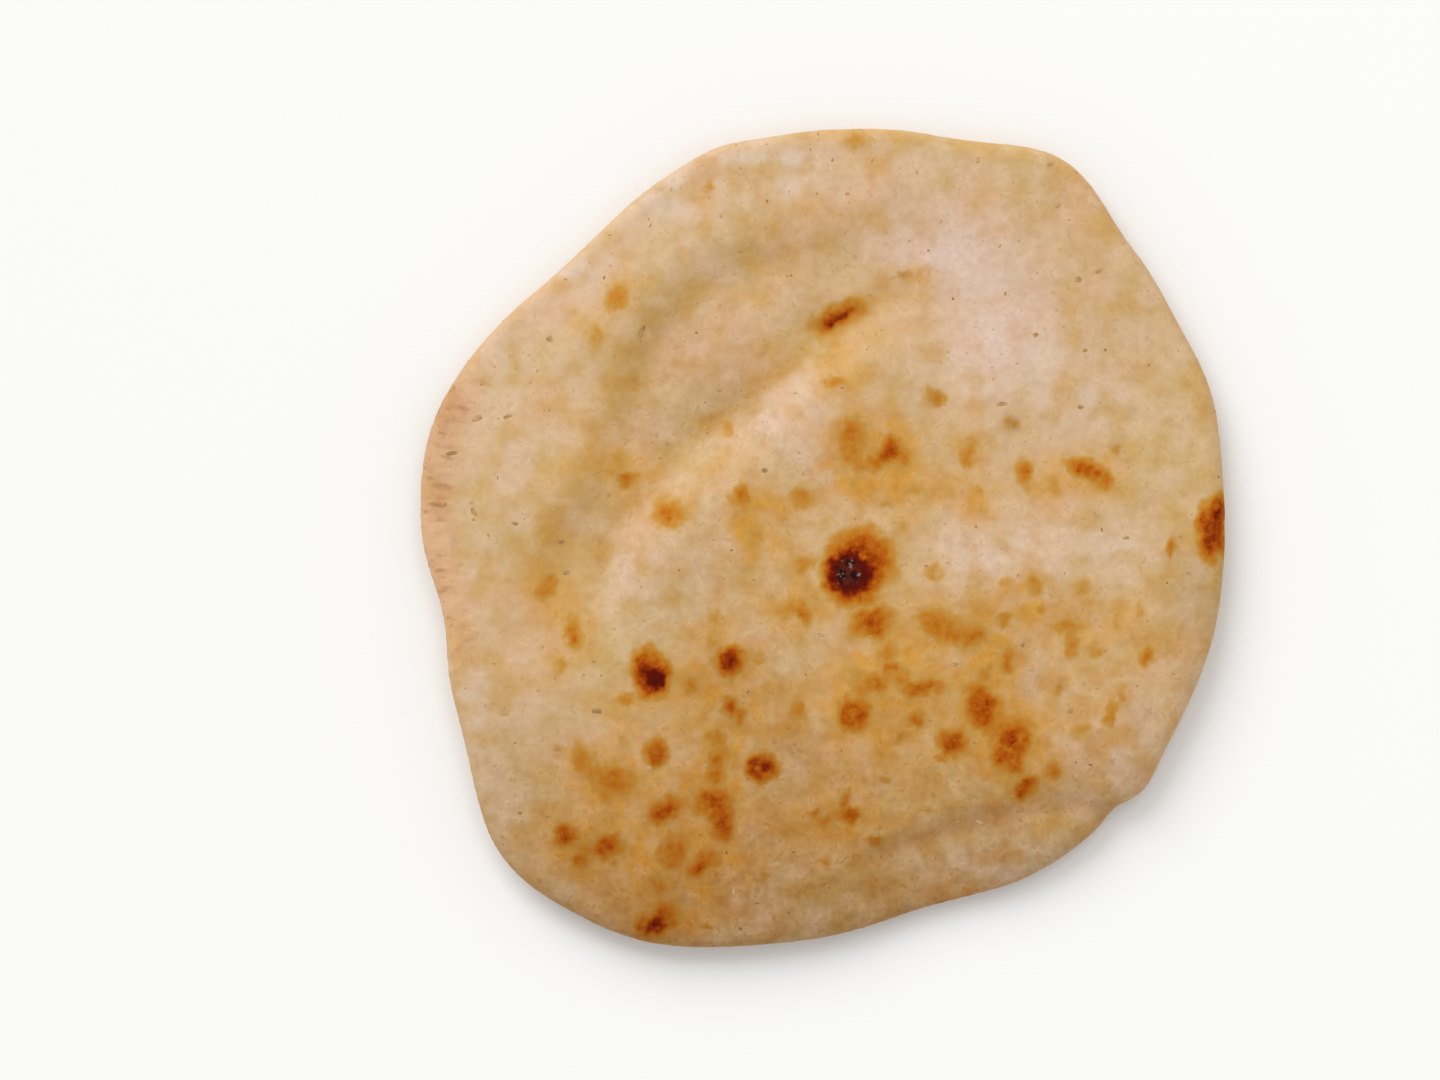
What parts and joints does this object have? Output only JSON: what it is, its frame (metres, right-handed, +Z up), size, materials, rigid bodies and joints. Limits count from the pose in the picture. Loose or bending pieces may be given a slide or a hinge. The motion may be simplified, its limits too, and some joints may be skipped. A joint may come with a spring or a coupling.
{
  "type": "baladi bread",
  "caption": "Round pocket flatbread with a puffed top crust, two long folds and scattered toasted spots, lying flat.",
  "frame": {"origin": "on the table, under the middle of the loaf's box", "axes": "+Z up through the loaf's thickness, -Y towards the loaf's browner edge, +X towards its notched side"},
  "size_m": [0.1906, 0.1942, 0.016],
  "materials": {
    "crust": "dry baked crust, matt with a faint sheen, pale tan with toasted spots"
  },
  "bodies": {
    "root": {"loaf": "crust"}
  },
  "joints": []
}
